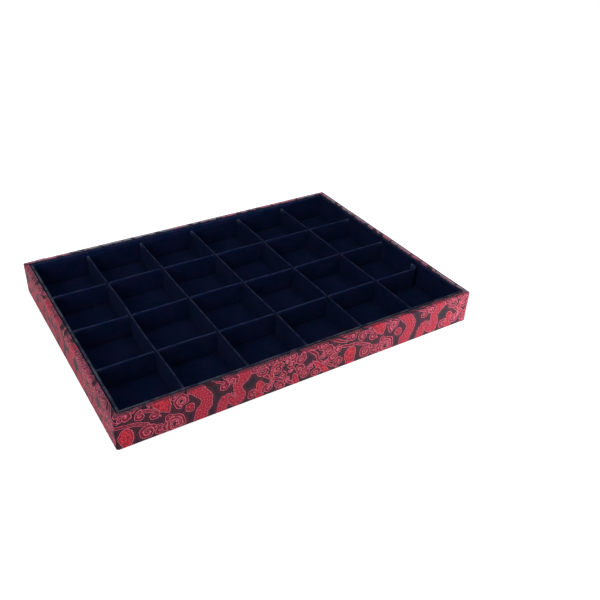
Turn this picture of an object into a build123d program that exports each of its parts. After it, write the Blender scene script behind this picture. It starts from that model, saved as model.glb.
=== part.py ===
from build123d import *
import os

# Jewelry display tray: boards wrapped in brocade, a velvet lining, and a lift-out grid of velvet
# dividers that makes 24 compartments. Millimetres, +X to the right, +Y to the back, +Z up.
# The origin is the middle of the underside.

# Whole tray
LENGTH = 350.0
WIDTH = 250.0
HEIGHT = 32.0

# Case boards and the brocade wrapped round them
CLOTH = 0.4
WALL_BOARD = 3.8
BASE_BOARD = 2.5
RIM = WALL_BOARD + 2 * CLOTH
TURN_IN_TOP = 12.0
TURN_IN_UNDER = 16.0
RIM_ROUND = 0.8
CORNER_ROUND = 2.0
FOOT_ROUND = 0.35
SEAM_GAP = 0.3
SEAM_FROM_CORNER = 20.0

# Felt sheet glued under the base
FELT = 0.6
FELT_INSET = 3.0

# Velvet floor and side linings
FLOOR_CARD = 1.5
FLOOR_CARD_PLAY = 0.3
VELVET = 0.5
LINER_CARD = 1.2
LINER_GAP = 0.8
LINER_DROP = 0.6
LINER_BACK_FOLD = 10.0
SHEET_PLAY = 0.1

# Divider grid, slotted together like an egg crate
GRID_DROP = 5.0
GRID_CARD = 0.8
GRID_VELVET = 0.35
CROSS_COUNT = 5
LONG_COUNT = 3
CROSS_PITCH = 56.9
LONG_PITCH = 59.7
END_PLAY = 0.5
SLOT_PLAY = 0.15
SLOT_MOUTH = 1.6
SLOT_MOUTH_DEPTH = 2.4
CURL_RADIUS = 5.5
CURL_TAB = 3.0

# Heights, from the table up
CASE_BOTTOM = FELT
BOARD_BOTTOM = CASE_BOTTOM + CLOTH
BASE_TOP = BOARD_BOTTOM + BASE_BOARD
FLOOR_CARD_TOP = BASE_TOP + FLOOR_CARD
FLOOR_TOP = FLOOR_CARD_TOP + VELVET
BOARD_TOP = HEIGHT - CLOTH
LINER_TOP = HEIGHT - LINER_DROP
GRID_TOP = HEIGHT - GRID_DROP
SLOT_MEET = (FLOOR_TOP + GRID_TOP) / 2

# Distances in from the outer faces
BOARD_INNER = CLOTH + WALL_BOARD
LINER_OUTER = RIM + LINER_GAP
LINER_CARD_OUTER = LINER_OUTER + VELVET
LINER_CARD_INNER = LINER_CARD_OUTER + LINER_CARD
LINER_INNER = LINER_CARD_INNER + VELVET
GRID_THICKNESS = GRID_CARD + 2 * GRID_VELVET

os.makedirs("parts", exist_ok=True)


def block(x0, x1, y0, y1, z0, z1):
    """A box between two corners."""
    return Pos((x0 + x1) / 2, (y0 + y1) / 2, (z0 + z1) / 2) * Box(x1 - x0, y1 - y0, z1 - z0)


def slab(inset, z0, z1):
    """A plate with the tray's outline and its round corners, drawn in by inset on every side."""
    half_length = LENGTH / 2 - inset
    half_width = WIDTH / 2 - inset
    plate = block(-half_length, half_length, -half_width, half_width, z0, z1)
    if inset < CORNER_ROUND:
        return fillet(plate.edges().filter_by(Axis.Z), CORNER_ROUND - inset)
    return plate


def ring(outer_inset, inner_inset, z0, z1):
    """A rectangular ring between two insets."""
    return slab(outer_inset, z0, z1) - slab(inner_inset, z0, z1)


def save(node, shape):
    """Writes one piece as a single solid under its own name."""
    solids = shape.solids()
    if len(solids) != 1:
        raise ValueError(f"{node} has {len(solids)} solids")
    piece = solids[0]
    piece.label = node
    export_step(piece, f"parts/{node}.step")


# Case: base board inside a frame of four wall boards
def make_case_boards():
    save("base_board", slab(BOARD_INNER, BOARD_BOTTOM, BASE_TOP))
    half_length = LENGTH / 2 - CLOTH
    half_width = WIDTH / 2 - CLOTH
    inner_x = LENGTH / 2 - BOARD_INNER
    inner_y = WIDTH / 2 - BOARD_INNER
    for name, side in (("front", -1), ("back", 1)):
        near, far = sorted((side * inner_y, side * half_width))
        board = block(-half_length, half_length, near, far, BOARD_BOTTOM, BOARD_TOP)
        save(f"{name}_wall_board", board & slab(CLOTH, BOARD_BOTTOM, BOARD_TOP))
    for name, side in (("left", -1), ("right", 1)):
        near, far = sorted((side * inner_x, side * half_length))
        save(f"{name}_wall_board", block(near, far, -inner_y, inner_y, BOARD_BOTTOM, BOARD_TOP))


# Brocade: one strip round the walls, folded over the rim, down inside and under the base
def make_brocade_cover():
    outside = ring(0, CLOTH, CASE_BOTTOM, HEIGHT)
    over_rim = ring(0, RIM, HEIGHT - CLOTH, HEIGHT)
    inside = ring(RIM - CLOTH, RIM, HEIGHT - TURN_IN_TOP, HEIGHT)
    under = ring(0, TURN_IN_UNDER, CASE_BOTTOM, BOARD_BOTTOM)
    cover = outside + over_rim + inside + under

    rim_face = cover.faces().sort_by(Axis.Z)[-1]
    cover = fillet(rim_face.edges(), RIM_ROUND)
    foot_face = cover.faces().filter_by(Axis.Z).sort_by(Axis.Z)[0]
    cover = fillet(foot_face.outer_wire().edges(), FOOT_ROUND)

    seam_x = -LENGTH / 2 + SEAM_FROM_CORNER
    seam = block(seam_x, seam_x + SEAM_GAP, 0, WIDTH, 0, 2 * HEIGHT)
    save("brocade_cover", cover - seam)


# Felt under the base: it covers the brocade's edges and is pressed up against the board between them
def make_bottom_felt():
    sheet = slab(FELT_INSET, 0, CASE_BOTTOM)
    pressed_up = slab(TURN_IN_UNDER, 0, BOARD_BOTTOM)
    save("bottom_felt", sheet + pressed_up)


# Velvet floor on its card
def make_floor():
    save("floor_card", slab(BOARD_INNER + FLOOR_CARD_PLAY, BASE_TOP, FLOOR_CARD_TOP))
    save("floor_velvet", slab(LINER_INNER + SHEET_PLAY, FLOOR_CARD_TOP, FLOOR_TOP))


def liner(half_run, distance, along_x):
    """One side lining, its card and the velvet folded over the card's top, at distance from the middle.

    distance is where the lining's outer face stands, negative on the front and left."""
    side = 1 if distance > 0 else -1
    reach = abs(distance)
    card_outer = reach - VELVET
    card_inner = card_outer - LINER_CARD
    velvet_inner = card_inner - VELVET

    def strip(inner, outer, z0, z1):
        near, far = sorted((side * inner, side * outer))
        if along_x:
            return block(-half_run, half_run, near, far, z0, z1)
        return block(near, far, -half_run, half_run, z0, z1)

    card = strip(card_inner, card_outer, FLOOR_CARD_TOP, LINER_TOP - VELVET)
    front = strip(velvet_inner, card_inner, FLOOR_CARD_TOP, LINER_TOP)
    fold = strip(velvet_inner, reach, LINER_TOP - VELVET, LINER_TOP)
    back = strip(card_outer, reach, LINER_TOP - LINER_BACK_FOLD, LINER_TOP)
    return card, front + fold + back


# Side linings: the front and back ones run the whole way, the left and right ones stand between them
def make_liners():
    reach_x = LENGTH / 2 - LINER_OUTER
    reach_y = WIDTH / 2 - LINER_OUTER
    between = WIDTH / 2 - LINER_INNER - SHEET_PLAY
    for name, side in (("front", -1), ("back", 1)):
        card, velvet = liner(reach_x, side * reach_y, True)
        save(f"{name}_liner_card", card)
        save(f"{name}_liner_velvet", velvet)
    for name, side in (("left", -1), ("right", 1)):
        card, velvet = liner(between, side * reach_x, False)
        save(f"{name}_liner_card", card)
        save(f"{name}_liner_velvet", velvet)


# Crossings of the grid, counted from the left and from the front
CROSS_X = [CROSS_PITCH * (i - (CROSS_COUNT - 1) / 2) for i in range(CROSS_COUNT)]
LONG_Y = [LONG_PITCH * (i - (LONG_COUNT - 1) / 2) for i in range(LONG_COUNT)]
CROSS_HALF = WIDTH / 2 - LINER_INNER - END_PLAY
LONG_HALF = LENGTH / 2 - LINER_INNER - END_PLAY


def upright(path, thickness, z0, z1):
    """A wall of one thickness that stands along a path in plan."""
    start = path @ 0
    section = Plane(origin=start, x_dir=(0, 1, 0) if abs((path % 0).X) > 0.5 else (1, 0, 0), z_dir=path % 0)
    profile = section * Rectangle(thickness, z1 - z0)
    return Pos(0, 0, (z0 + z1) / 2) * sweep(profile, path=path)


def divider(path, slots):
    """The card of one divider and the velvet sleeve folded over its top, both cut by the slots."""
    card = upright(path, GRID_CARD, FLOOR_TOP, GRID_TOP - GRID_VELVET)
    velvet = upright(path, GRID_THICKNESS, FLOOR_TOP, GRID_TOP) - card
    for slot in slots:
        card = card - slot
        velvet = velvet - slot
    return card, velvet


# Cross dividers run front to back, slotted from below, so their tops are unbroken
def make_cross_dividers():
    slot_half = GRID_THICKNESS / 2 + SLOT_PLAY
    for number, x in enumerate(CROSS_X, 1):
        path = Line((x, -CROSS_HALF), (x, CROSS_HALF))
        slots = [
            block(x - slot_half, x + slot_half, y - slot_half, y + slot_half, 0, SLOT_MEET + SLOT_PLAY)
            for y in LONG_Y
        ]
        card, velvet = divider(path, slots)
        save(f"cross_divider_{number}_card", card)
        save(f"cross_divider_{number}_velvet", velvet)


def open_slot(x, y):
    """A slot from above with a splayed mouth, where a long divider takes a cross divider."""
    slot_half = GRID_THICKNESS / 2 + SLOT_PLAY
    depth = GRID_THICKNESS
    straight = block(x - slot_half, x + slot_half, y - depth, y + depth, SLOT_MEET - SLOT_PLAY, HEIGHT)
    mouth_half = slot_half + SLOT_MOUTH
    outline = Polyline(
        (x - slot_half, GRID_TOP - SLOT_MOUTH_DEPTH),
        (x + slot_half, GRID_TOP - SLOT_MOUTH_DEPTH),
        (x + mouth_half, GRID_TOP),
        (x - mouth_half, GRID_TOP),
        close=True,
    )
    mouth = extrude(Plane.XZ.offset(-y) * make_face(outline), depth, both=True)
    return straight + mouth


# Long dividers run left to right, slotted from above. The front one's right end curls back.
def make_long_dividers():
    for number, y in enumerate(LONG_Y, 1):
        if number == 1:
            bend_x = LONG_HALF - GRID_THICKNESS / 2 - CURL_RADIUS
            straight = Line((-LONG_HALF, y), (bend_x, y))
            curl = CenterArc((bend_x, y + CURL_RADIUS), CURL_RADIUS, -90, 90)
            tab = Line(curl @ 1, curl @ 1 + Vector(0, CURL_TAB))
            path = Wire([straight, curl, tab])
        else:
            path = Line((-LONG_HALF, y), (LONG_HALF, y))
        card, velvet = divider(path, [open_slot(x, y) for x in CROSS_X])
        save(f"long_divider_{number}_card", card)
        save(f"long_divider_{number}_velvet", velvet)


make_case_boards()
make_brocade_cover()
make_bottom_felt()
make_floor()
make_liners()
make_cross_dividers()
make_long_dividers()
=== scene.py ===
import math

import bpy
import numpy as np
from mathutils import Matrix, Vector


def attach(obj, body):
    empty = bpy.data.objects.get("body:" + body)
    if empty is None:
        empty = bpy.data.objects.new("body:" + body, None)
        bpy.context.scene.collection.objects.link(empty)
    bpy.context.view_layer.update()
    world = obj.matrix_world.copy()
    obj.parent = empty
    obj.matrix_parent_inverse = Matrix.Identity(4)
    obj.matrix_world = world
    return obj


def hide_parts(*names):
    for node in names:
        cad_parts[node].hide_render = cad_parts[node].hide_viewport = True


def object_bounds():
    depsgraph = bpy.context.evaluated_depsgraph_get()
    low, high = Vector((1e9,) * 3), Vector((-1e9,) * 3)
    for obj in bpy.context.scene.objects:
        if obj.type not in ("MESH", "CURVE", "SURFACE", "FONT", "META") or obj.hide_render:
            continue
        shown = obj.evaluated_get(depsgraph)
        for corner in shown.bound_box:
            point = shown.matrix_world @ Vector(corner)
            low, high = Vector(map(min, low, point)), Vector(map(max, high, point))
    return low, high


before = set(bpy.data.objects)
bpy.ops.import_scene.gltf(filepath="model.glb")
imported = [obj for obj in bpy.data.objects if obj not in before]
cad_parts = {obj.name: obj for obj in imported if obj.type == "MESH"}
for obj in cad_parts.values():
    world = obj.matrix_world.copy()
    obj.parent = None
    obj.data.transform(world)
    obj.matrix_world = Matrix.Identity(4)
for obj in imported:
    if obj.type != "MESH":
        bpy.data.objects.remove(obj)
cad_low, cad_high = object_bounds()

# Sizes are in millimetres, as in the CAD, and turn into metres when a mesh is made
MM = 0.001
LENGTH, WIDTH, HEIGHT = (round((high - low) / MM, 3) for low, high in zip(cad_low, cad_high))
SIDES = ("front", "right", "back", "left")

# Brocade strip: its way round a wall, and how finely it is divided
CASE_BOTTOM = 0.6
RIM = 4.6
TURN_IN_TOP = 12.0
TURN_IN_UNDER = 16.0
RIM_ROUND = 0.8
CORNER_ROUND = 2.0
FOOT_ROUND = 0.35
SHARP_ROUND = 0.12
FELT_INSET = 3.0
FELT_BURIES = 0.1
BURIED_FROM = FELT_INSET + 0.4
LEVEL_FROM = FELT_INSET - 0.2
THREAD_STEP = 0.64
RIM_STEP = 0.6
OVER_STEP = 0.55
TURN_IN_STEP = 2.8
UNDER_STEP = 3.0
SHOWN_UNDER = 4.0
SHOWN_INSIDE = 2.4
CORNER_STEPS = np.arange(-2.1, 2.2, 0.3)

# Brocade seam, a lap near the back left corner
SEAM_AT = 930.0
SEAM_LAP = 8.0
LAP_RISE = 0.35
LAP_START = 0.8
LAP_BEND = 0.3
LAP_EDGE = 0.12
LAP_END = 0.35

# Brocade relief and creases: how high or deep they are, and over what length
FIGURE_RISE = 0.06
FIGURE_EDGE = (-0.7, 0.3)
SLACK = 0.09
SLACK_LENGTH = 52
SLACK_START = (0.5, 4)
PUCKER = 0.03
PUCKER_LENGTH = 13
MITRE_RISE = 0.2
MITRE_LENGTH = 4
MITRE_DIP = 0.16
MITRE_WIDTH = 0.45
# How wide the painted shade along a mitre's crease is, and how strong it is under the lap's tucked end
CREASE_WIDTH = 0.5
TUCK_PAINTED_SHADE = 0.7

# Each rim, 0 to 1, in the order of SIDES: its dust, and the painted shade on its inner edge, outer edge and
# top
RIM_WEAR = (0.1, 0.68, 0.9, 0.15)
RIM_SHADE = (0.0, 0.45, 0.85, 0.0)
RIM_OUTER_SHADE = (0.0, 0.75, 0.0, 0.0)
RIM_TOP_SHADE = (0.62, 0.0, 0.0, 0.4)

# Bands over a rim, in millimetres of cloth past the wall's height: how each starts and ends
DUST_BAND = ((-1.6, -0.6), (3.6, 5.0))
OUTER_EDGE_BAND = ((-1.8, -1.0), (0.1, 1.0))
RIM_TOP_BAND = ((-0.7, 0.2), (2.6, 3.4))
MITRE_BAND = ((-1.6, 0.5), (4.5, 7))
INNER_EDGE_START = (2.0, 3.0)

# Floor and linings
FLOOR_CARD_TOP = 5.0
VELVET = 0.5
FLOOR_TOP = FLOOR_CARD_TOP + VELVET
LINER_TOP = HEIGHT - 0.6
LINER_OUTER = RIM + 0.8
LINER_INNER = LINER_OUTER + 2.2
LINER_HALF = (LINER_INNER - LINER_OUTER) / 2
LINER_CLOTH = 0.4
LINER_BACK_FOLD = 10.0
LINER_STEP = 2.0
LINER_ROW_STEP = 3.0
UNDER_FOLD = 0.3
FOLD_POINTS = 11
SHEET_PLAY = 0.1

# Linings' unevenness: how far they lean, sway and rise, and over what length
LEAN = 0.16
LEAN_LENGTH = 85
SWAY = 0.05
SWAY_LENGTH = 18
LINER_WAVE = 0.12
LINER_WAVE_LENGTH = 60

# Laid cloths, the floor velvet and the felt: their edges and their unevenness
LAID_EDGE = 0.4
LAID_ROUND = 0.15
LAID_ROUND_WIDTH = 0.5
LAID_WAVE_LENGTH = 40
LAID_WAVE_FADE = 6
FLOOR_WAVE = 0.06
FLOOR_STEP = 4.0
FELT_STEP = 5.0

# Velvet: how strong the painted sheen along its folds' tops is and where, and how much paler a painted fill
# light makes its pile
LINING_PAINTED_SHEEN = {"front": 1.0, "right": 0.15, "back": 0.15, "left": 1.0}
LINING_PAINTED_FILL = {"front": 0.0, "right": 0.2, "back": 0.85, "left": 0.0}
PAINTED_SHEEN_START = -0.9
PAINTED_SHEEN_FULL = -0.3
DIVIDER_PAINTED_SHEEN = 0.42
PAINTED_SHEEN_SHARPNESS = 9
CROSS_PAINTED_FILL = 0.1
LONG_PAINTED_FILL = 0.95

# Divider grid
GRID_TOP = HEIGHT - 5.0
SLEEVE_HALF = 0.75
SLEEVE_CLOTH = 0.32
CARD_THICKNESS = 0.76
CARD_DROP = 0.7
SLOT_MEET = (FLOOR_TOP + GRID_TOP) / 2
SLOT_PLAY = 0.15
SLOT_HALF = SLEEVE_HALF + SLOT_PLAY
SLOT_MOUTH = 1.6
SLOT_MOUTH_DEPTH = 2.4
CROSS_PITCH = 56.9
LONG_PITCH = 59.7
CROSS_X = [CROSS_PITCH * k for k in (-2, -1, 0, 1, 2)]
LONG_Y = [LONG_PITCH * k for k in (-1, 0, 1)]
END_PLAY = 0.5
CROSS_HALF = WIDTH / 2 - LINER_INNER - END_PLAY
LONG_HALF = LENGTH / 2 - LINER_INNER - END_PLAY
CURL_RADIUS = 5.5
CURL_TAB = 3.0
DIVIDER_STEP = 1.8
BEND_STEP = 0.5
TAB_STEP = 0.75
SLOT_COLUMNS = np.array([0, 0.4, 0.8, 1.2, SLOT_MOUTH, 2.2])
LOWER_LEVELS = (8.0, 10.5, 13.0)
UPPER_LEVELS = (18.0, 20.3, 22.4)

# Divider unevenness: how far the walls wander, and their tops and ends
WANDER = 0.55
WANDER_X_LENGTH = 105
WANDER_Y_LENGTH = 120
WANDER_FADE = 30
WANDER_AT_ENDS = 0.35
TOP_BAND = 20
TOP_WAVE = 0.12
TOP_WAVE_LENGTH = 22
END_FLARE = 0.28
END_FLARE_LENGTH = 2.5
END_FRAY_LENGTH = 3.0
CUT_FRAY_LENGTH = 0.8


# Shapes
def ripple(x, y, length, seed):
    """A smooth unevenness, about -1 to 1, from five crossing waves of about this length."""
    total = 0.0
    for k in range(5):
        angle = 2.4 * k + seed
        wave = 2 * math.pi / (length * (0.7 + 0.17 * k))
        total = total + np.sin(wave * (x * math.cos(angle) + y * math.sin(angle)) + 1.7 * k * seed)
    return total / 2.6


def smooth_step(low, high, value):
    """0 below low, 1 above high, and a soft change between."""
    u = np.clip((value - low) / (high - low), 0, 1)
    return u * u * (3 - 2 * u)


def in_band(band, value):
    """1 within a band and 0 beyond it, with soft ends."""
    start, end = band
    return smooth_step(*start, value) * (1 - smooth_step(*end, value))


def spaced(start, end, step):
    """Even places from start to end, about step apart."""
    return np.linspace(start, end, max(2, int(round((end - start) / step)) + 1))


def merged(*groups):
    """All the places in order, without near doubles."""
    near = 0.02
    places = np.unique(np.concatenate([np.atleast_1d(group) for group in groups]))
    return places[np.concatenate([[True], np.diff(places) > near])]


def grid_faces(rows, columns, keep=None):
    """Quads over a grid of points, all or only those to keep."""
    index = np.arange(rows * columns).reshape(rows, columns)
    corners = (index[:-1, :-1], index[:-1, 1:], index[1:, 1:], index[1:, :-1])
    quads = np.stack(corners, -1)
    return quads.reshape(-1, 4) if keep is None else quads[keep]


def make_piece(name, points, faces, material, attributes=None):
    """A smooth mesh piece from points in millimetres."""
    mesh = bpy.data.meshes.new(name)
    mesh.from_pydata((points.reshape(-1, 3) * MM).tolist(), [], np.asarray(faces).tolist())
    for key, values in (attributes or {}).items():
        layer = mesh.attributes.new(key, "FLOAT", "POINT")
        layer.data.foreach_set("value", np.ascontiguousarray(values, dtype=np.float32).ravel())
    mesh.polygons.foreach_set("use_smooth", np.ones(len(mesh.polygons), dtype=bool))
    mesh.materials.append(material)
    piece = bpy.data.objects.new(name, mesh)
    bpy.context.scene.collection.objects.link(piece)
    return piece


def thicken(piece, thickness, offset):
    """Gives a skin its cloth or card thickness."""
    modifier = piece.modifiers.new("thickness", "SOLIDIFY")
    modifier.thickness = thickness * MM
    modifier.offset = offset
    modifier.use_even_offset = True
    piece.modifiers.new("flat edges", "WEIGHTED_NORMAL")


# The woven pattern: the figures of one repeat, placed by s along the strip and t up it
REPEAT = 204.5
CLOUD, SERPENT, FLAME = 0.0, 1.0, 2.0
OVERLAP_GAP = 0.4
WOBBLE = 0.36
WOBBLE_S_LENGTH = 11
WOBBLE_T_LENGTH = 12
FAR_OFF = 9.0
REACH = 3


def flow(points, samples=40):
    """A smooth curve through a few points."""
    points = np.array(points, float)
    ends = np.vstack([2 * points[0] - points[1], points, 2 * points[-1] - points[-2]])
    where = np.linspace(0, len(points) - 1, samples)
    span = np.minimum(where.astype(int), len(points) - 2)
    u = (where - span)[:, None]
    a, b, c, d = (ends[span + k] for k in range(4))
    cubic = 3 * b - a - 3 * c + d
    square = 2 * a - 5 * b + 4 * c - d
    return 0.5 * (2 * b + (c - a) * u + square * u**2 + cubic * u**3)


def band(kind, points, widths, samples=40):
    """A band along a smooth curve, with its half widths from end to end."""
    places = np.linspace(0, 1, samples)
    return kind, flow(points, samples), np.interp(places, np.linspace(0, 1, len(widths)), widths)


def coil(s, t, radius, start, turns, width=1.5):
    """A lobed scroll that winds inward from radius, anticlockwise for turns above 0."""
    samples = 20 + int(28 * abs(turns))
    u = np.linspace(0, 1, samples)
    angle = math.radians(start) + 2 * math.pi * turns * u
    lobes = 1 + 0.05 * np.sin(5.4 * angle + s)
    reach = radius * (1 - 0.8 * u) * lobes
    line = np.column_stack([s + reach * np.cos(angle), t + reach * np.sin(angle)])
    return CLOUD, line, width * (1.25 - 0.5 * u)


def ribbons():
    """Ribbons that stream across the repeat."""
    return [
        band(CLOUD, [(-12, 24.5), (-2, 21.5), (8, 20.5), (18, 18), (27, 13.5), (34, 8), (40, 2), (48, -4.5)],
             [0.9, 1.9, 1.8, 1.2]),
        band(CLOUD, [(36.5, 18), (33.5, 24), (27.5, 27.5), (20.5, 29)], [0.8, 2.0, 1.9]),
        band(CLOUD, [(76, 37), (83, 31.5), (89, 29), (92.5, 26)], [0.6, 1.2, 1.5]),
        band(CLOUD, [(126.5, 20.5), (134, 15.5), (143, 9.5), (151.5, 4), (161.5, -3)], [1.6, 1.9, 1.7, 1.2]),
        band(CLOUD, [(162.5, 35), (170.5, 29.5), (177, 22.5), (181.5, 13.5), (191.5, 7), (201, -1)],
             [1.1, 1.6, 1.5, 1.0]),
        band(CLOUD, [(186.5, 37), (194, 32.5), (201, 28.5), (206.5, 25.5)], [1.0, 1.7, 1.3]),
    ]


def left_scrolls():
    """Scrolls on the left of the repeat."""
    return [
        coil(25, 7, 6.0, 70, 1.7, 1.4),
        coil(34.5, 5, 4.2, 100, -1.3, 1.6),
        coil(20.5, 25, 4.2, 90, 1.2, 1.5),
        coil(31, 21, 3.8, 60, -1.2, 1.5),
        coil(9, 28.5, 4.6, 200, -1.3, 1.6),
        coil(15.5, 33.5, 3.6, 0, 1.2, 1.3),
        coil(47.5, 5.5, 9.0, 200, -2.7, 1.2),
        coil(43.5, 14, 2.6, 240, -1.0, 1.4),
        coil(49.5, 32, 4.2, 20, 1.3, 1.4),
    ]


def flames_and_pearl():
    """Flames, and the pearl with its scroll."""
    return [
        band(FLAME, [(8, 12.5), (7.8, 9), (8.2, 2), (7.5, -7)], [5.6, 6.4, 4.0, 2.6]),
        band(FLAME, [(25.5, 39.5), (26.5, 34.5), (28, 31)], [3.4, 2.6, 0.8]),
        band(FLAME, [(33, 39.5), (36.8, 32.5), (40, 26.5), (42.5, 20)], [6.0, 7.0, 5.4, 1.1]),
        coil(54.5, 25.5, 6.2, 250, -1.9, 1.2),
        band(SERPENT, [(59.5, 17.5), (60.5, 16), (61.5, 14.5)], [3.0, 3.9, 3.0]),
    ]


def serpent_loops():
    """The serpent's loops, and the scrolls between them."""
    return [
        band(SERPENT, [(57, 44.5), (60.5, 37.5), (65, 32), (70, 27), (74.5, 20.5), (74, 13), (70, 7),
                       (69, -1.5), (74, -10.5), (77.5, -18)], [3.5, 4.8, 5.4, 5.2, 5.4, 6.0, 5.0, 4.0], 90),
        band(SERPENT, [(85.5, -18), (86, -6.5), (87.5, 3.5), (90.5, 11), (95.5, 11.5), (99, 7)],
             [4.0, 4.3, 4.6, 4.2, 3.2], 60),
        band(SERPENT, [(95, 11), (97.5, 6.5), (102, 5), (104.5, 10), (102.5, 16), (102, 21.5),
                       (105.5, 27), (111, 33), (114, 41)],
             [2.8, 4.0, 4.6, 4.2, 4.0, 4.2, 6.8, 6.5, 4.5], 90),
        coil(97.5, 27.5, 4.8, 320, 1.4, 1.4),
        coil(90, 25, 3.6, 60, -1.3, 1.4),
        coil(93, 35, 3.4, 180, 1.1, 1.2),
    ]


def middle_figures():
    """Scrolls and flames in the middle of the repeat."""
    return [
        coil(126, 26, 6.2, 100, 1.1, 1.7),
        coil(118.5, 32, 4.0, 270, -1.3, 1.4),
        band(FLAME, [(121.5, 15), (123, 8.5), (121, -2)], [2.6, 5.0, 3.0]),
        coil(115, 5.5, 3.8, 60, 1.3, 1.4),
        coil(129.5, 6.5, 4.6, 200, -1.4, 1.5),
        coil(138.5, 22.5, 5.6, 30, 1.5, 1.6),
        coil(133.5, 32, 4.4, 200, -1.4, 1.4),
        coil(142.5, 32, 4.2, 330, 1.3, 1.4),
        band(FLAME, [(134, 23.5), (133, 19.5), (134.5, 15.5)], [0.8, 2.2, 0.8]),
        coil(141, 3, 4.6, 140, -1.4, 1.5),
        coil(144, 14.5, 3.0, 90, -1.2, 1.2),
        band(FLAME, [(155, 10.5), (156, 6), (158.5, -2)], [1.2, 3.0, 2.4]),
        coil(153.5, 31, 4.6, 180, 1.4, 1.4),
        coil(160.5, 24.5, 4.8, 60, -1.4, 1.5),
        coil(160, 14.5, 4.4, 250, 1.4, 1.5),
        coil(166.5, 8, 4.8, 90, 1.4, 1.5),
        coil(166.5, 34, 3.6, 0, -1.2, 1.3),
        coil(152.5, 22.5, 3.0, 200, 1.1, 1.2),
        coil(148, 27, 2.6, 90, -1.2, 1.0),
        coil(152, 16, 2.6, 20, 1.2, 1.0),
        coil(148, 8, 2.8, 240, -1.2, 1.0),
        coil(133.5, 10.5, 2.4, 120, 1.2, 1.0),
        coil(171.5, 13.5, 2.8, 300, -1.2, 1.0),
    ]


def right_figures():
    """Scrolls and a flame on the right of the repeat."""
    return [
        band(FLAME, [(174, 17.5), (178.5, 11.5), (184.5, 6), (191, -2)], [0.8, 2.6, 2.9, 2.0]),
        coil(175.5, 34, 4.2, 200, 1.3, 1.4),
        coil(183, 29.5, 4.6, 20, 1.4, 1.4),
        coil(189.5, 23, 4.8, 200, -1.5, 1.5),
        coil(194.5, 14, 4.8, 60, 1.4, 1.4),
        coil(200, 7, 4.4, 230, -1.4, 1.4),
        coil(199.5, 20.5, 3.6, 90, 1.2, 1.2),
        coil(176.5, 4, 4.2, 0, 1.3, 1.4),
        coil(206, 34.5, 3.6, 120, 1.2, 1.3),
        coil(184, 19.5, 3.0, 60, -1.2, 1.1),
        coil(187, 12, 2.6, 200, 1.2, 1.0),
    ]


def figures_under_base():
    """Scrolls under the base."""
    return [
        coil(11.5, -11, 6.0, 60, 1.4, 1.7),
        coil(27.5, -8.5, 5.4, 200, -1.4, 1.6),
        coil(60, -7.5, 5.6, 90, 1.4, 1.6),
        coil(102, -9, 6.2, 20, -1.5, 1.8),
        coil(123.5, -11, 5.0, 90, 1.4, 1.5),
        coil(147.5, -10, 5.4, 300, 1.4, 1.6),
        coil(171, -8, 5.6, 60, -1.4, 1.6),
        coil(194.5, -10.5, 5.2, 150, 1.4, 1.5),
    ]


def figures_inside_rim():
    """Scrolls down inside the rim."""
    return [
        coil(10.5, 43.5, 4.6, 200, 1.3, 1.5),
        coil(43, 44.5, 5.0, 60, -1.3, 1.5),
        coil(81, 43.5, 4.8, 100, 1.3, 1.5),
        coil(101, 45, 4.6, 0, -1.3, 1.4),
        coil(133, 44, 5.0, 200, 1.4, 1.5),
        coil(159, 45, 4.6, 40, -1.3, 1.5),
        coil(186.5, 44, 5.0, 100, 1.4, 1.5),
    ]


def motif():
    """The bands of one repeat, the later ones over the earlier ones."""
    return [
        *ribbons(),
        *left_scrolls(),
        *flames_and_pearl(),
        *serpent_loops(),
        *middle_figures(),
        *right_figures(),
        *figures_under_base(),
        *figures_inside_rim(),
    ]


def nearest_on(line, half, points):
    """Signed distance to a band's edge, and the place along and across the band."""
    steps = np.linalg.norm(np.diff(line, axis=0), axis=1)
    run = np.concatenate([[0], np.cumsum(steps)])
    best = np.full(len(points), FAR_OFF)
    along = np.zeros(len(points))
    across = np.zeros(len(points))
    for k, step in enumerate(steps):
        direction = (line[k + 1] - line[k]) / step
        off = points - line[k]
        u = np.clip(off @ direction, 0, step)
        side = np.sign(direction[0] * off[:, 1] - direction[1] * off[:, 0])
        far = np.linalg.norm(off - u[:, None] * direction, axis=1)
        signed = far - (half[k] + u / step * (half[k + 1] - half[k]))
        closer = signed < best
        best = np.where(closer, signed, best)
        along = np.where(closer, run[k] + u, along)
        across = np.where(closer, side * far, across)
    return best, along, across


def woven_figures(s, t):
    """Signed distance to the figures, the place along and across them, and their kind."""
    hand_s = s + WOBBLE * ripple(s, t, WOBBLE_S_LENGTH, 0.7)
    hand_t = t + WOBBLE * ripple(s, t, WOBBLE_T_LENGTH, 1.9)
    points = np.column_stack([np.mod(hand_s, REPEAT).ravel(), hand_t.ravel()])
    figure = np.full(len(points), FAR_OFF)
    along, across, kind = (np.zeros(len(points)) for _ in range(3))
    for style, line, half in motif():
        reach = half.max() + REACH
        for shift in (-REPEAT, 0, REPEAT):
            moved = points - [shift, 0]
            inside = (moved > line.min(0) - reach) & (moved < line.max(0) + reach)
            near = np.nonzero(inside.all(1))[0]
            if not len(near):
                continue
            edge, place, side = nearest_on(line, half, moved[near])
            over = edge < OVERLAP_GAP
            figure[near] = np.where(over, edge, np.minimum(figure[near], edge))
            along[near] = np.where(over, place, along[near])
            across[near] = np.where(over, side, across[near])
            kind[near] = np.where(over, style, kind[near])
    return tuple(values.reshape(s.shape) for values in (figure, along, across, kind))


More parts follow.
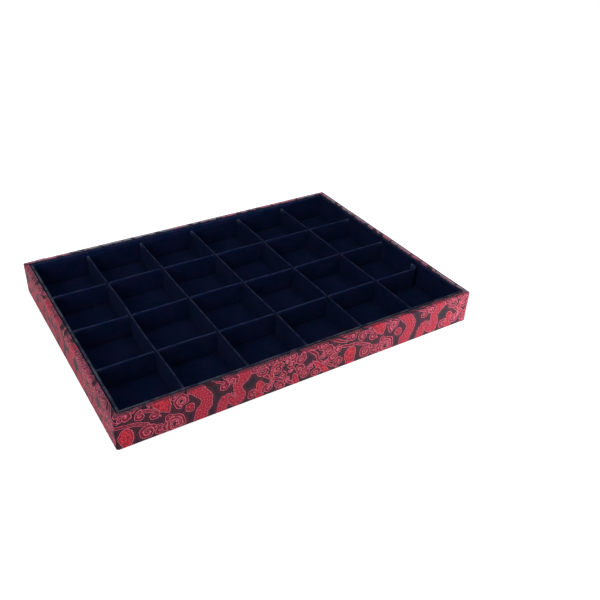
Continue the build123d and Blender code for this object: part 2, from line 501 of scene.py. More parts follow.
# The brocade strip, from under the base up over the rim and down inside
SIDE_RUNS = np.array([LENGTH, WIDTH, LENGTH, WIDTH])
SIDE_STARTS = np.concatenate([[0], np.cumsum(SIDE_RUNS)[:-1]])
PERIMETER = float(SIDE_RUNS.sum())
CORNERS = np.array([(-1, -1), (1, -1), (1, 1), (-1, 1)]) * [LENGTH / 2, WIDTH / 2]
DIRECTIONS = np.array([(1, 0), (0, 1), (-1, 0), (0, -1)], float)
INWARDS = np.array([(0, 1), (-1, 0), (0, -1), (1, 0)], float)
ARC_POINTS = 7
FOOT_ARC = slice(3, 3 + ARC_POINTS)
OUTER_ARC = slice(FOOT_ARC.stop, FOOT_ARC.stop + ARC_POINTS)
INNER_ARC = slice(OUTER_ARC.stop, OUTER_ARC.stop + ARC_POINTS)


def section():
    """Knots round a wall: place along the cloth, inset, height and the angle that it faces."""
    inner = RIM - RIM_ROUND
    top = HEIGHT - RIM_ROUND
    rounds = [
        (FOOT_ROUND, CASE_BOTTOM + FOOT_ROUND, FOOT_ROUND, -90),
        (RIM_ROUND, top, RIM_ROUND, 0),
        (inner, top, RIM_ROUND, 90),
    ]
    buried = CASE_BOTTOM + FELT_BURIES
    knots = [(TURN_IN_UNDER, buried, -90), (BURIED_FROM, buried, -90), (LEVEL_FROM, CASE_BOTTOM, -90)]
    for inset, height, radius, start in rounds:
        for angle in np.linspace(start, start + 90, ARC_POINTS):
            turn = math.radians(angle)
            knots.append((inset - radius * math.cos(turn), height + radius * math.sin(turn), angle))
    knots.append((RIM, HEIGHT - TURN_IN_TOP, 180))
    knots = np.array(knots)
    run = np.concatenate([[0], np.cumsum(np.hypot(*np.diff(knots[:, :2], axis=0).T))])
    return run - run[FOOT_ARC][-1], knots


def round_the_walls(s, inset):
    """Plan position of the strip, and the way that it faces there."""
    s = np.mod(s, PERIMETER)
    side = np.searchsorted(SIDE_STARTS, s, side="right") - 1
    span = SIDE_RUNS[side] - 2 * inset
    place = (s - SIDE_STARTS[side]) / SIDE_RUNS[side] * span
    radius = np.maximum(CORNER_ROUND - inset, SHARP_ROUND)
    first = place < span / 2
    near = np.where(first, place, span - place)
    in_round = near < radius
    turn = np.where(in_round, (1 - near / radius) * math.pi / 4, 0)
    near = np.where(in_round, radius - radius * np.sin(turn), near)
    depth = inset + radius * (1 - np.cos(turn))
    turn = np.where(first, -turn, turn)
    along = inset + np.where(first, near, span - near)
    plan = CORNERS[side] + along[..., None] * DIRECTIONS[side] + depth[..., None] * INWARDS[side]
    outward = np.sin(turn)[..., None] * DIRECTIONS[side] - np.cos(turn)[..., None] * INWARDS[side]
    return plan, outward


def corner_distance(s):
    """How far along the strip the last corner is behind, and the nearest corner away."""
    starts = np.concatenate([SIDE_STARTS, [PERIMETER]])
    s = np.mod(s, PERIMETER)
    side = np.searchsorted(SIDE_STARTS, s, side="right") - 1
    behind = s - starts[side]
    return behind, np.minimum(behind, starts[side + 1] - s)


def by_side(values, s):
    """The value of the side that each place along the strip is on."""
    side = np.searchsorted(SIDE_STARTS, np.mod(s, PERIMETER), side="right") - 1
    return np.array(values)[side]


def strip_columns():
    """Places along the strip, closer together at the corners and the seam."""
    start = SEAM_AT - PERIMETER
    end = SEAM_AT + SEAM_LAP
    groups = [spaced(start, end, THREAD_STEP), SEAM_AT - np.array([LAP_START, LAP_BEND, 0.0])]
    groups.append([end - LAP_END, end - LAP_EDGE])
    for corner in (*(SIDE_STARTS[1:] - PERIMETER), *SIDE_STARTS):
        if start < corner < end:
            groups.append(corner + CORNER_STEPS)
    return merged(*groups)


def strip_rows(run):
    """Places across the strip, as fine as the threads where the cloth shows."""
    foot, outer, inner = (run[arc] for arc in (FOOT_ARC, OUTER_ARC, INNER_ARC))
    shown_inside = inner[-1] + SHOWN_INSIDE
    return merged(
        spaced(run[0], -SHOWN_UNDER - 0.5, UNDER_STEP),
        spaced(-SHOWN_UNDER, 0.0, THREAD_STEP),
        foot,
        spaced(0.0, outer[0], RIM_STEP),
        outer,
        spaced(outer[-1], inner[0], OVER_STEP),
        inner,
        spaced(inner[-1], shown_inside, RIM_STEP),
        spaced(shown_inside, run[-1], TURN_IN_STEP),
    )


def rim_dust_and_shade(s, over):
    """Dust on the rims, and painted shade on their edges and tops, 0 to 1, along the strip and past the
    wall's height.
    """
    # Painted shade on the rims' inner edges, outer edges and tops
    painted_shade = smooth_step(*INNER_EDGE_START, over) * by_side(RIM_SHADE, s)
    painted_shade = np.maximum(painted_shade, in_band(OUTER_EDGE_BAND, over) * by_side(RIM_OUTER_SHADE, s))
    painted_shade = np.maximum(painted_shade, in_band(RIM_TOP_BAND, over) * by_side(RIM_TOP_SHADE, s))
    return in_band(DUST_BAND, over) * by_side(RIM_WEAR, s), painted_shade


def cloth_relief(s, t, figure, on_rim, tucked):
    """How far the cloth stands off its section: figures, slack, mitres and the lap."""
    behind, nearest = corner_distance(s)
    relief = FIGURE_RISE * (1 - smooth_step(*FIGURE_EDGE, figure))
    slack = SLACK * ripple(s, t, SLACK_LENGTH, 1.3) + PUCKER * ripple(s, t, PUCKER_LENGTH, 2.1)
    relief = relief + smooth_step(*SLACK_START, t) * slack
    mitre = MITRE_RISE * np.exp(-behind / MITRE_LENGTH) - MITRE_DIP * np.exp(-((nearest / MITRE_WIDTH) ** 2))
    relief = relief + on_rim * mitre
    lapped = smooth_step(SEAM_AT - LAP_START, SEAM_AT, s)
    return relief + LAP_RISE * lapped * (1 - tucked)


def make_brocade(material):
    """The brocade round the walls, with its lap at the seam."""
    run, knots = section()
    s, t = np.meshgrid(strip_columns(), strip_rows(run))
    inset, height, angle = (np.interp(t, run, column) for column in knots.T)
    facing = np.radians(angle)
    plan, outward = round_the_walls(s, inset)
    figure, along, across, kind = woven_figures(s, t)

    over = t - HEIGHT
    on_rim = in_band(MITRE_BAND, over)
    tucked = smooth_step(SEAM_AT + SEAM_LAP - LAP_END, SEAM_AT + SEAM_LAP, s)
    relief = cloth_relief(s, t, figure, on_rim, tucked)
    # The second of these is painted shade on the rims' edges and tops
    worn, shaded = rim_dust_and_shade(s, over)
    nearest = corner_distance(s)[1]

    normal = np.concatenate([outward * np.cos(facing)[..., None], np.sin(facing)[..., None]], -1)
    points = np.concatenate([plan, height[..., None]], -1) + relief[..., None] * normal
    # Painted shade along the mitres' creases on the rim and under the lap's tucked end
    crease = np.exp(-((nearest / CREASE_WIDTH) ** 2)) * on_rim + TUCK_PAINTED_SHADE * tucked
    attributes = dict(figure=figure, figure_along=along, figure_across=across, figure_kind=kind)
    attributes.update(cloth_s=s, cloth_t=t, worn=worn, shaded=shaded, crease=crease)
    faces = grid_faces(*s.shape)
    piece = make_piece("brocade_wrap", points, faces, material, attributes)
    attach(piece, "tray")
    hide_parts("brocade_cover")


# Velvet folded over a card, for the linings and the dividers
def fold_section(half, top, inner_levels, outer_levels):
    """Rows over a fold: offset across it, height, and how near the fold's top."""
    rows = [(half, z, 0.0) for z in inner_levels]
    for angle in np.linspace(0, 180, FOLD_POINTS):
        turn = math.radians(angle)
        rows.append((half * math.cos(turn), top - half + half * math.sin(turn), math.sin(turn)))
    rows += [(-half, z, 0.0) for z in outer_levels[::-1]]
    return np.array(rows)


def lining_rows():
    """A side lining's section: up its card's face, over the top and down the back."""
    under_fold = LINER_TOP - LINER_HALF - UNDER_FOLD
    inner_levels = spaced(FLOOR_CARD_TOP, under_fold, LINER_ROW_STEP)
    outer_levels = spaced(LINER_TOP - LINER_BACK_FOLD, under_fold, LINER_ROW_STEP)
    return fold_section(LINER_HALF, LINER_TOP, inner_levels, outer_levels)


def lining_skin(side, along_x, rows, run_half):
    """Points and faces of a side lining, which leans and waves a little."""
    sign = -1 if side in ("front", "left") else 1
    seed = 1.0 + 0.7 * SIDES.index(side)
    middle = (WIDTH if along_x else LENGTH) / 2 - (LINER_OUTER + LINER_INNER) / 2
    place, offset = np.meshgrid(spaced(-run_half, run_half, LINER_STEP), rows[:, 0])
    height = np.repeat(rows[:, 1:2], place.shape[1], 1)
    up = (height - FLOOR_CARD_TOP) / (LINER_TOP - FLOOR_CARD_TOP)
    lean = LEAN * up * ripple(place, 0 * place, LEAN_LENGTH, seed)
    sway = SWAY * ripple(place, height, SWAY_LENGTH, seed + 2)
    height = height + up**4 * LINER_WAVE * ripple(place, 0 * place, LINER_WAVE_LENGTH, seed + 4)
    depth = sign * (middle - offset + lean + sway)
    plan = [place, depth] if along_x else [depth, place]
    faces = grid_faces(*place.shape)
    if (sign > 0) == along_x:
        faces = faces[:, ::-1]
    return np.stack([*plan, height], -1), faces


def make_liner(side, material):
    """One side lining's velvet, folded over its card."""
    along_x = side in ("front", "back")
    run_half = LENGTH / 2 - LINER_OUTER if along_x else WIDTH / 2 - LINER_INNER - SHEET_PLAY
    rows = lining_rows()
    points, faces = lining_skin(side, along_x, rows, run_half)
    # Painted sheen along the fold's top, strongest on the front and left linings
    sheen_band = smooth_step(PAINTED_SHEEN_START * LINER_HALF, PAINTED_SHEEN_FULL * LINER_HALF, rows[:, 0]) * rows[:, 2]
    fold = np.repeat(sheen_band[:, None], points.shape[1], 1)
    # The pile is also made paler by a painted fill light, mostly on the back lining
    attributes = {"fold": LINING_PAINTED_SHEEN[side] * fold, "painted_fill": np.full_like(fold, LINING_PAINTED_FILL[side])}
    piece = make_piece(f"{side}_lining_velvet", points, faces, material, attributes)
    thicken(piece, LINER_CLOTH, -1)
    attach(piece, "tray")
    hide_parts(f"{side}_liner_velvet")


def make_slab(name, half_x, half_y, low, high, step, unevenness, material):
    """A thin cloth slab with an uneven top and soft edges, closed below."""
    edges = [(-half, half) for half in (half_x, half_y)]
    lines = [merged(spaced(a, b, step), [a + LAID_EDGE, b - LAID_EDGE]) for a, b in edges]
    plan_x, plan_y = np.meshgrid(*lines)
    edge = np.minimum(half_x - abs(plan_x), half_y - abs(plan_y))
    soft = LAID_ROUND * (1 - smooth_step(0, LAID_ROUND_WIDTH, edge))
    wave = unevenness * ripple(plan_x, plan_y, LAID_WAVE_LENGTH, 0.8)
    top = high + wave * smooth_step(0, LAID_WAVE_FADE, edge) - soft
    upper = np.stack([plan_x, plan_y, top], -1).reshape(-1, 3)
    lower = np.stack([plan_x, plan_y, np.full_like(top, low)], -1).reshape(-1, 3)
    count = len(upper)
    quads = grid_faces(*plan_x.shape)
    index = np.arange(count).reshape(plan_x.shape)
    border = np.concatenate([index[0, :-1], index[:-1, -1], index[-1, :0:-1], index[:0:-1, 0]])
    following = np.roll(border, -1)
    walls = np.stack([border, border + count, following + count, following], -1)[:, ::-1]
    faces = np.concatenate([quads, quads[:, ::-1] + count, walls])
    return make_piece(name, np.concatenate([upper, lower]), faces, material)


def make_floor_velvet(material):
    """The velvet laid on the floor card."""
    half_x = LENGTH / 2 - LINER_INNER - SHEET_PLAY
    half_y = WIDTH / 2 - LINER_INNER - SHEET_PLAY
    levels = (FLOOR_CARD_TOP, FLOOR_TOP)
    piece = make_slab("floor_velvet_cloth", half_x, half_y, *levels, FLOOR_STEP, FLOOR_WAVE, material)
    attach(piece, "tray")
    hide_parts("floor_velvet")


def make_felt(material):
    """The felt under the base, a flat sheet."""
    half_x = LENGTH / 2 - FELT_INSET
    half_y = WIDTH / 2 - FELT_INSET
    piece = make_slab("bottom_felt_cloth", half_x, half_y, 0.0, CASE_BOTTOM, FELT_STEP, 0.0, material)
    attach(piece, "tray")
    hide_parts("bottom_felt")


# The divider grid, a little out of true as the handmade one is
def out_of_true(x, y):
    """How far the grid's walls stand from their drawn place there."""
    from_sides = smooth_step(0, WANDER_FADE, LONG_HALF - abs(x))
    from_ends = smooth_step(0, WANDER_FADE, CROSS_HALF - abs(y))
    share = WANDER_AT_ENDS + (1 - WANDER_AT_ENDS) * from_sides
    shift_x = WANDER * ripple(x, y, WANDER_X_LENGTH, 0.9) * share
    shift_y = WANDER * ripple(x, y, WANDER_Y_LENGTH, 2.3) * from_sides * from_ends
    return shift_x, shift_y


def slot_places(crossings):
    """Places where a divider needs a column of points, at each crossing."""
    steps = SLOT_HALF + SLOT_COLUMNS
    return [middle + side * steps for middle in crossings for side in (-1, 1)]


def cross_line(number):
    """Plan points of a cross divider, and their places along it."""
    x = CROSS_X[number - 1]
    places = merged(spaced(-CROSS_HALF, CROSS_HALF, DIVIDER_STEP), *slot_places(LONG_Y))
    return np.column_stack([np.full(len(places), x), places]), places


def long_line(number):
    """Plan points of a long divider, the front one with its curl, and their places along it."""
    y = LONG_Y[number - 1]
    slots = slot_places(CROSS_X)
    if number > 1:
        places = merged(spaced(-LONG_HALF, LONG_HALF, DIVIDER_STEP), *slots)
        return np.column_stack([places, np.full(len(places), y)]), places
    bend = LONG_HALF - SLEEVE_HALF - CURL_RADIUS
    tab_start = bend + CURL_RADIUS * math.pi / 2
    places = merged(
        spaced(-LONG_HALF, bend, DIVIDER_STEP),
        spaced(bend, tab_start, BEND_STEP),
        spaced(tab_start, tab_start + CURL_TAB, TAB_STEP),
        *slots,
    )
    turn = np.clip((places - bend) / CURL_RADIUS, 0, math.pi / 2)
    tab = np.maximum(places - tab_start, 0)
    x = np.minimum(places, bend) + CURL_RADIUS * np.sin(turn)
    return np.column_stack([x, y + CURL_RADIUS * (1 - np.cos(turn)) + tab]), places


def mouth_dip(distance):
    """How far a wall's top drops at the splayed mouth of a slot."""
    return SLOT_MOUTH_DEPTH * (1 - smooth_step(0, SLOT_MOUTH, distance - SLOT_HALF))


def slotted_faces(rows, places, crossings, from_above):
    """A wall's faces, without those that its slots take away."""
    centre = (places[1:] + places[:-1]) / 2
    in_slot = np.min([abs(centre - middle) for middle in crossings], axis=0) < SLOT_HALF
    level = (rows[1:, 1] + rows[:-1, 1]) / 2
    cut = level > SLOT_MEET if from_above else level < SLOT_MEET
    return grid_faces(len(rows), len(places), ~(cut[:, None] & in_slot[None]))


def divider_mesh(line, places, crossings, from_above, rows):
    """Points, faces and attributes of a wall along a line in plan, with its slots cut out.

    rows gives the offset across the wall, the height and the nearness to the fold."""
    line = line + np.column_stack(out_of_true(line[:, 0], line[:, 1]))
    tangent = np.gradient(line, axis=0)
    tangent = tangent / np.linalg.norm(tangent, axis=1)[:, None]
    across = np.column_stack([-tangent[:, 1], tangent[:, 0]])
    offset, height, fold = (np.repeat(column[:, None], len(places), 1) for column in rows.T)
    distance = np.min([abs(places - middle) for middle in crossings], axis=0)
    ends = np.minimum(places - places[0], places[-1] - places)
    up = smooth_step(TOP_BAND, GRID_TOP, height)
    fray = np.exp(-ends / END_FRAY_LENGTH) * up**2
    height = height + up * TOP_WAVE * ripple(line[:, 0], line[:, 1], TOP_WAVE_LENGTH, 1.1)
    if from_above:
        height = height - up * mouth_dip(distance)
        cut_fray = np.exp(-np.maximum(distance - SLOT_HALF, 0) / CUT_FRAY_LENGTH)
        fray = np.maximum(fray, cut_fray * up)
    offset = offset * (1 + END_FLARE * np.exp(-ends / END_FLARE_LENGTH))
    plan = line[None] + offset[..., None] * across[None]
    points = np.concatenate([plan, height[..., None]], -1)
    faces = slotted_faces(rows, places, crossings, from_above)
    # Painted fill light: a paler pile on the long dividers, whose faces the lamps leave darker
    painted_fill = np.full_like(fold, LONG_PAINTED_FILL if from_above else CROSS_PAINTED_FILL)
    # Painted sheen along the divider's top fold
    return points, faces, {"fold": DIVIDER_PAINTED_SHEEN * fold**PAINTED_SHEEN_SHARPNESS, "fray": fray, "painted_fill": painted_fill}


def make_divider(name, line, places, crossings, from_above, velvet, card):
    """One divider: its sleeve of velvet and the card inside."""
    slot_end = SLOT_MEET - SLOT_PLAY if from_above else SLOT_MEET + SLOT_PLAY
    levels = [FLOOR_TOP, *LOWER_LEVELS, slot_end, *UPPER_LEVELS]
    rows = fold_section(SLEEVE_HALF, GRID_TOP, levels, levels)
    points, faces, attributes = divider_mesh(line, places, crossings, from_above, rows)
    sleeve = make_piece(f"{name}_sleeve", points, faces, velvet, attributes)
    thicken(sleeve, SLEEVE_CLOTH, -1)
    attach(sleeve, "divider_grid")
    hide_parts(f"{name}_velvet")

    rows = np.array([(0.0, z, 0.0) for z in (*levels[:-1], GRID_TOP - CARD_DROP)])
    points, faces, _ = divider_mesh(line, places, crossings, from_above, rows)
    stiffener = make_piece(f"{name}_stiffener", points, faces, card)
    thicken(stiffener, CARD_THICKNESS, 0)
    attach(stiffener, "divider_grid")
    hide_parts(f"{name}_card")


def make_grid(velvet, card):
    """All the dividers, numbered from the left and from the front."""
    for number in range(1, len(CROSS_X) + 1):
        line, places = cross_line(number)
        make_divider(f"cross_divider_{number}", line, places, LONG_Y, False, velvet, card)
    for number in range(1, len(LONG_Y) + 1):
        line, places = long_line(number)
        make_divider(f"long_divider_{number}", line, places, CROSS_X, True, velvet, card)


# Colours as they show on screen, 0 to 255, or pairs between which a material varies
GROUND_PLUM = (30, 10, 34)
GROUND_BLACK = (14, 18, 22)
GROUND_THREAD = (48, 26, 50)
VINE_RED = (132, 26, 56)
MARK_RED = (92, 6, 34)
CRIMSON = ((84, 4, 28), (128, 14, 46))
ROSE = ((176, 60, 84), (220, 106, 126))
CORAL = ((176, 18, 42), (232, 62, 78))
SCARLET = ((192, 28, 54), (232, 72, 94))
# Painted shade for the creases
PAINTED_CREASE_SHADE = (18, 12, 20)
# Painted shade on the rims
PAINTED_RIM_SHADE = (22, 20, 34)
DUST = (50, 48, 60)
FADED = ((142, 142, 156), (182, 118, 142))
# Painted sheen on the velvet's folds
PAINTED_VELVET_SHEEN = (88, 90, 98)
FRAYED_VELVET = (84, 92, 112)
FELT_BLACK = ((20, 20, 22), (36, 35, 38))
FELT_FIBRE = (60, 59, 62)
GREY_BOARD = ((126, 122, 114), (150, 146, 136))
GREY_FLECK = (96, 92, 86)
FIBREBOARD = ((132, 100, 68), (164, 130, 92))
BROWN_FLECK = (96, 70, 46)

# Colours too dark to give on that scale, as the shader takes them
PILE_BLUE = (0.0008, 0.0046, 0.0195, 1)
PILE_VIOLET = (0.0040, 0.0053, 0.0235, 1)

# Woven detail, along and across the figures
THREAD_PITCH = 0.55
RIB_PITCH = 1.9
SCALE_WIDTH = 2.5
SCALE_LENGTH = 3.1
BEAD_PITCH = 2.6
BEAD_DEPTH = 0.4
RAGGEDNESS = 1.1


def linear(colour):
    """A colour on the screen's scale, as the shader takes it."""
    values = [c / 255 for c in colour]
    return [c / 12.92 if c <= 0.04045 else ((c + 0.055) / 1.055) ** 2.4 for c in values] + [1.0]


# Materials
class Shader:
    """A material whose nodes are added by short calls."""

    def __init__(self, name):
        self.material = bpy.data.materials.new(name)
        self.material.use_nodes = True
        self.tree = self.material.node_tree
        self.surface = self.tree.nodes["Principled BSDF"]

    def node(self, kind, **settings):
        made = self.tree.nodes.new(kind)
        for key, value in settings.items():
            setattr(made, key, value)
        return made

    def plug(self, value, socket):
        if isinstance(value, bpy.types.NodeSocket):
            self.tree.links.new(value, socket)
        else:
            socket.default_value = value

    def fill(self, node, **values):
        """Sets or links a node's inputs, with _ for a space in their names."""
        for key, value in values.items():
            self.plug(value, node.inputs[key.replace("_", " ")])

    def set(self, **values):
        self.fill(self.surface, **values)

    def math(self, operation, *values):
        made = self.node("ShaderNodeMath", operation=operation)
        for value, socket in zip(values, made.inputs):
            self.plug(value, socket)
        return made.outputs[0]

    def times(self, first, second):
        return self.math("MULTIPLY", first, second)

    def plus(self, first, second):
        return self.math("ADD", first, second)

    def minus(self, first, second):
        return self.math("SUBTRACT", first, second)

    def larger(self, first, second):
        return self.math("MAXIMUM", first, second)

    def attribute(self, name):
        return self.node("ShaderNodeAttribute", attribute_name=name).outputs["Fac"]

    def noise(self, scale, detail=2.0, roughness=0.5):
        made = self.node("ShaderNodeTexNoise")
        place = self.node("ShaderNodeTexCoord").outputs["Object"]
        self.fill(made, Vector=place, Scale=scale, Detail=detail, Roughness=roughness)
        return made.outputs["Fac"]

    def steps(self, value, low, high):
        """0 to 1 as the value goes from low to high, or the other way round."""
        made = self.node("ShaderNodeMapRange", interpolation_type="SMOOTHSTEP")
        self.fill(made, Value=value, From_Min=min(low, high), From_Max=max(low, high))
        self.fill(made, To_Min=float(low > high), To_Max=float(low < high))
        return made.outputs["Result"]

    def line(self, value, middle, half):
        """1 where the value is within half of middle."""
        away = self.math("ABSOLUTE", self.minus(value, middle))
        return self.steps(away, half * 1.25, half * 0.6)

    def mix(self, amount, first, second, blend="MIX"):
        made = self.node("ShaderNodeMix", data_type="RGBA", blend_type=blend)
        self.plug(amount, made.inputs[0])
        self.plug(first, made.inputs[6])
        self.plug(second, made.inputs[7])
        return made.outputs[2]

    def vary(self, amount, pair):
        """A colour between the two of a pair."""
        return self.mix(amount, *(linear(colour) for colour in pair))

    def bump(self, height, strength, distance):
        made = self.node("ShaderNodeBump")
        self.fill(made, Height=height, Strength=strength, Distance=distance)
        self.set(Normal=made.outputs["Normal"])


def figure_edge(shader, along, in_serpent):
    """Signed distance to the figures, ragged as threads turn back, and beaded on the serpent."""
    ragged = shader.times(shader.minus(shader.noise(700, 2), 0.5), RAGGEDNESS)
    beads = shader.math("COSINE", shader.times(along, 2 * math.pi / BEAD_PITCH))
    beads = shader.times(shader.times(beads, in_serpent), BEAD_DEPTH)
    return shader.plus(shader.plus(shader.attribute("figure"), ragged), beads)


def weave_relief(shader):
    """Crossing threads, 0 in the hollows and 1 on top."""
    threads = shader.math("SINE", shader.times(shader.attribute("cloth_t"), 2 * math.pi / THREAD_PITCH))
    wefts = shader.math("SINE", shader.times(shader.attribute("cloth_s"), 2 * math.pi / THREAD_PITCH))
    return shader.math("MULTIPLY_ADD", shader.times(threads, wefts), 0.5, 0.5)


def ground_colour(shader, edge, speckle):
    """Plum and black satin, with thin red lines that follow the figures."""
    patches = shader.steps(shader.noise(45, 2), 0.35, 0.65)
    ground = shader.mix(patches, linear(GROUND_PLUM), linear(GROUND_BLACK))
    ground = shader.mix(shader.times(speckle, 0.25), ground, linear(GROUND_THREAD))
    near_line = shader.times(shader.line(edge, 1.3, 0.26), 0.55)
    far_line = shader.times(shader.line(edge, 2.4, 0.24), 0.28)
    return shader.mix(shader.larger(near_line, far_line), ground, linear(VINE_RED))


def cloud_colour(shader, edge, speckle, rose):
    """Clouds and ribbons: rose lines round crimson, and a paler line along the middle."""
    middle = shader.times(shader.steps(edge, -1.45, -1.7), 0.75)
    cloud = shader.mix(middle, shader.vary(speckle, CRIMSON), rose)
    return shader.mix(shader.steps(edge, -0.72, -0.48), cloud, rose)


def flame_marks(shader, across):
    """Broken ribs along a flame, and knots between them."""
    wander = shader.times(shader.minus(shader.noise(220, 1), 0.5), 1.6)
    place = shader.math("DIVIDE", shader.plus(across, wander), RIB_PITCH)
    ribs = shader.line(shader.math("FRACT", place), 0.5, 0.2)
    ribs = shader.times(ribs, shader.steps(shader.noise(520, 1), 0.38, 0.5))
    knots = shader.times(shader.steps(shader.noise(360, 2), 0.54, 0.4), 0.8)
    return shader.larger(ribs, knots)


def serpent_scales(shader, along, across):
    """Rings in staggered rows, which overlap like scales."""
    lane = shader.math("DIVIDE", across, SCALE_WIDTH)
    row = shader.math("ROUND", lane)
    stagger = shader.times(shader.math("MODULO", shader.math("ABSOLUTE", row), 2.0), 0.5)
    step = shader.math("FRACT", shader.plus(shader.math("DIVIDE", along, SCALE_LENGTH), stagger))
    step = shader.times(shader.minus(step, 0.4), 1.5)
    aside = shader.times(shader.minus(lane, row), 1.3)
    reach = shader.math("SQRT", shader.plus(shader.times(step, step), shader.times(aside, aside)))
    return shader.line(reach, 0.6, 0.24)


def body_colour(shader, edge, speckle, rose, in_flame, marks):
    """Serpent and flames: bright red with dark marks, and a rose outline."""
    bright = shader.mix(in_flame, shader.vary(speckle, SCARLET), shader.vary(speckle, CORAL))
    marks = shader.larger(marks, shader.line(edge, -0.95, 0.3))
    body = shader.mix(shader.times(marks, 0.8), bright, linear(MARK_RED))
    return shader.mix(shader.steps(edge, -0.75, -0.4), body, rose)


def dust_and_shade_colour(shader, colour, inside):
    """Painted shade in the creases and on the rims' edges and tops, and dust on the rims."""
    # Painted shade in the creases
    painted_shade = shader.times(shader.attribute("crease"), 0.45)
    colour = shader.mix(painted_shade, colour, linear(PAINTED_CREASE_SHADE))
    fibres = shader.math("MULTIPLY_ADD", inside, 0.3, shader.noise(250, 2))
    faded = shader.vary(shader.steps(shader.noise(28, 1), 0.46, 0.6), FADED)
    dusty = shader.mix(shader.steps(fibres, 0.48, 0.8), linear(DUST), faded)
    colour = shader.mix(shader.attribute("worn"), colour, dusty)
    # Painted shade on the rims' edges and tops
    return shader.mix(shader.attribute("shaded"), colour, linear(PAINTED_RIM_SHADE))


def brocade_material():
    """Satin ground with figures woven in crimson, bright red and pink thread."""
    shader = Shader("brocade_weave")
    along = shader.attribute("figure_along")
    across = shader.attribute("figure_across")
    kind = shader.attribute("figure_kind")
    in_flame = shader.steps(kind, 1.4, 1.6)
    in_body = shader.steps(kind, 0.4, 0.6)
    in_serpent = shader.minus(in_body, in_flame)
    edge = figure_edge(shader, along, in_serpent)
    speckle = shader.steps(shader.noise(1000, 2, 0.6), 0.32, 0.68)
    rose = shader.vary(speckle, ROSE)

    ribs = shader.times(flame_marks(shader, across), in_flame)
    scales = shader.times(serpent_scales(shader, along, across), in_serpent)
    body = body_colour(shader, edge, speckle, rose, in_flame, shader.plus(ribs, scales))
    cloud = cloud_colour(shader, edge, speckle, rose)
    inside = shader.steps(edge, 0.1, -0.1)
    colour = shader.mix(inside, ground_colour(shader, edge, speckle), shader.mix(in_body, cloud, body))
    weave = weave_relief(shader)
    # Painted shade and highlight: the colour darkens in the hollows between threads and brightens on their
    # tops
    colour = shader.mix(1.0, colour, shader.math("MULTIPLY_ADD", weave, 0.2, 0.9), "MULTIPLY")
    colour = dust_and_shade_colour(shader, colour, inside)

    shader.set(Base_Color=colour, Roughness=shader.math("MULTIPLY_ADD", inside, 0.1, 0.6))
    shader.set(IOR=1.05, Sheen_Weight=0.17, Sheen_Roughness=0.5, Sheen_Tint=(1.0, 0.94, 0.98, 1))
    height = shader.plus(shader.times(weave, 0.5), shader.times(inside, 0.9))
    shader.bump(height, 0.35, 0.00012)
    return shader.material


def velvet_material():
    """Very dark navy pile, with a painted sheen along the tops of its folds and a painted fill light that
    makes some faces paler, and paler where frayed at a cut.
    """
    shader = Shader("navy_velvet")
    patches = shader.steps(shader.noise(70, 3, 0.6), 0.35, 0.65)
    pile = shader.noise(1500, 2, 0.7)
    colour = shader.mix(patches, PILE_BLUE, PILE_VIOLET)
    # Painted fill light: the pile is paler where its attribute says so, on faces the lamps leave darker
    colour = shader.mix(1.0, colour, shader.plus(shader.attribute("painted_fill"), 1.0), "MULTIPLY")
    uneven = shader.math("MULTIPLY_ADD", shader.steps(shader.noise(110, 2), 0.4, 0.6), 0.7, 0.3)
    # Painted sheen along the tops of folds
    painted_sheen = shader.times(shader.attribute("fold"), shader.math("MULTIPLY_ADD", pile, 0.7, 0.25))
    colour = shader.mix(shader.times(painted_sheen, uneven), colour, linear(PAINTED_VELVET_SHEEN))
    frayed = shader.times(shader.attribute("fray"), shader.steps(pile, 0.3, 0.6))
    colour = shader.mix(shader.times(frayed, 0.8), colour, linear(FRAYED_VELVET))
    shader.set(Base_Color=colour, Roughness=1.0, Specular_IOR_Level=0.0)
    shader.set(Sheen_Weight=0.1, Sheen_Roughness=0.6, Sheen_Tint=(0.12, 0.16, 0.28, 1))
    shader.bump(shader.plus(pile, shader.times(patches, 2.0)), 0.4, 0.0003)
    return shader.material


def felt_material():
    """Pressed black felt with short paler fibres."""
    shader = Shader("bottom_felt")
    fibres = shader.noise(1100, 4, 0.75)
    patches = shader.steps(shader.noise(45, 3, 0.6), 0.35, 0.65)
    colour = shader.vary(patches, FELT_BLACK)
    colour = shader.mix(shader.steps(fibres, 0.55, 0.8), colour, linear(FELT_FIBRE))
    shader.set(Base_Color=colour, Roughness=1.0, Specular_IOR_Level=0.08)
    shader.set(Sheen_Weight=0.2, Sheen_Roughness=0.5)
    shader.bump(fibres, 0.6, 0.0004)
    return shader.material


def board_material(name, shades, fleck):
    """Grey or brown board with short fibres and a rubbed surface."""
    shader = Shader(name)
    fibres = shader.noise(420, 5, 0.7)
    patches = shader.noise(30, 2)
    colour = shader.vary(shader.math("MULTIPLY_ADD", patches, 0.5, 0.25), shades)
    colour = shader.mix(shader.times(shader.steps(fibres, 0.5, 0.75), 0.6), colour, linear(fleck))
    shader.set(Base_Color=colour, Roughness=shader.math("MULTIPLY_ADD", fibres, 0.2, 0.72))
    shader.bump(fibres, 0.3, 0.0003)
    return shader.material


def dress_nodes(names, material):
    """Gives carried-over nodes their material."""
    for name in names:
        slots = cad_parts[name].data.materials
        slots.clear()
        slots.append(material)


# Stage: the camera and the lamps stand in metres, the floor in millimetres
FOCAL_PX = 702.4
PITCH = 0.5886
YAW = 0.5614
ROLL = 0.0340
CAMERA_AT = (-0.2726, -0.5007, 0.3875)
PRINCIPAL_X = 280
PICTURE = 600
SENSOR = 36.0
WORLD_LIGHT = 0.34
FLOOR_GLOW = 0.66
FLOOR_REACH = 6000.0
FLOOR_DROP = 0.05


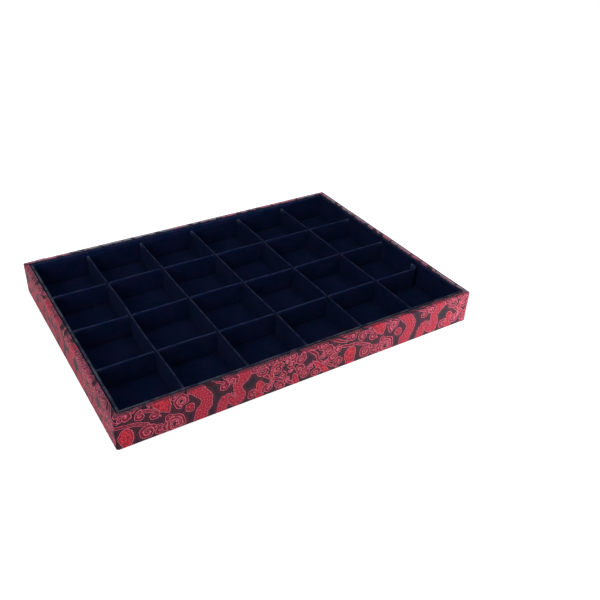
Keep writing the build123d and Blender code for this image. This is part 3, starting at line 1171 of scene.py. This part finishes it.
def make_camera():
    """The camera as fitted to the photo, its axis left of the picture's middle."""
    data = bpy.data.cameras.new("camera")
    data.sensor_width = SENSOR
    data.lens = SENSOR * FOCAL_PX / PICTURE
    data.shift_x = (PICTURE / 2 - PRINCIPAL_X) / PICTURE
    data.clip_start = 0.01
    camera = bpy.data.objects.new("camera", data)
    turn = Matrix.Rotation(-YAW, 4, "Z") @ Matrix.Rotation(-PITCH, 4, "X")
    turn = turn @ Matrix.Rotation(-ROLL, 4, "Y") @ Matrix.Rotation(math.pi / 2, 4, "X")
    camera.matrix_world = Matrix.Translation(CAMERA_AT) @ turn
    bpy.context.scene.collection.objects.link(camera)
    bpy.context.scene.camera = camera


def make_lamp(name, place, target, size, power):
    """A round lamp aimed at a point."""
    data = bpy.data.lights.new(name, "AREA")
    data.shape = "DISK"
    data.size = size
    data.energy = power
    lamp = bpy.data.objects.new(name, data)
    lamp.location = place
    aim = Vector(target) - lamp.location
    lamp.rotation_euler = aim.to_track_quat("-Z", "Y").to_euler()
    bpy.context.scene.collection.objects.link(lamp)


def seen_directly(tree):
    """1 for what the camera or a reflection sees, 0 for lighting."""
    path = tree.nodes.new("ShaderNodeLightPath")
    seen = path.outputs["Is Camera Ray"]
    for ray in ("Is Glossy Ray", "Is Transmission Ray"):
        either = tree.nodes.new("ShaderNodeMath")
        either.operation = "MAXIMUM"
        tree.links.new(seen, either.inputs[0])
        tree.links.new(path.outputs[ray], either.inputs[1])
        seen = either.outputs[0]
    return seen


def make_world():
    """White to the camera and in reflections, and a soft light on the object."""
    world = bpy.data.worlds.new("studio")
    bpy.context.scene.world = world
    world.use_nodes = True
    tree = world.node_tree
    light = tree.nodes["Background"]
    light.inputs["Color"].default_value = (1, 1, 1, 1)
    blend = tree.nodes.new("ShaderNodeMapRange")
    blend.inputs["To Min"].default_value = WORLD_LIGHT
    blend.inputs["To Max"].default_value = 1.0
    tree.links.new(seen_directly(tree), blend.inputs["Value"])
    tree.links.new(blend.outputs["Result"], light.inputs["Strength"])


def make_floor():
    """A pale floor, a hair under the felt."""
    shader = Shader("pale_floor")
    shader.set(Base_Color=(0.86, 0.86, 0.86, 1), Roughness=0.9, Specular_IOR_Level=0.1)
    glow = shader.times(seen_directly(shader.tree), FLOOR_GLOW)
    shader.set(Emission_Color=(1, 1, 1, 1), Emission_Strength=glow)
    spread = np.linspace(-FLOOR_REACH, FLOOR_REACH, 3)
    x, y = np.meshgrid(spread, spread)
    points = np.stack([x, y, np.full_like(x, -FLOOR_DROP)], -1)
    floor = make_piece("pale_floor", points, grid_faces(3, 3), shader.material)


def make_lamps():
    """A key above, a low lamp at the right that skims the front face, and a fill at the left."""
    make_lamp("key", (0.2, -0.1, 1.2), (0, 0, 0), 1.0, 5.0)
    make_lamp("side", (0.52, -0.285, 0.035), (0.05, -0.12, 0.02), 0.06, 3.6)
    make_lamp("fill", (-1.2, -0.35, 0.8), (0, 0, 0), 0.8, 8.8)


bpy.context.scene.view_settings.view_transform = "Standard"
make_camera()
make_world()
make_floor()
make_lamps()

velvet = velvet_material()
grey_board = board_material("grey_board", GREY_BOARD, GREY_FLECK)
fibreboard = board_material("fibreboard", FIBREBOARD, BROWN_FLECK)

make_brocade(brocade_material())
make_felt(felt_material())
make_floor_velvet(velvet)
for side in SIDES:
    make_liner(side, velvet)
make_grid(velvet, grey_board)

dress_nodes(["base_board"] + [f"{side}_wall_board" for side in SIDES], fibreboard)
dress_nodes(["floor_card"] + [f"{side}_liner_card" for side in SIDES], grey_board)
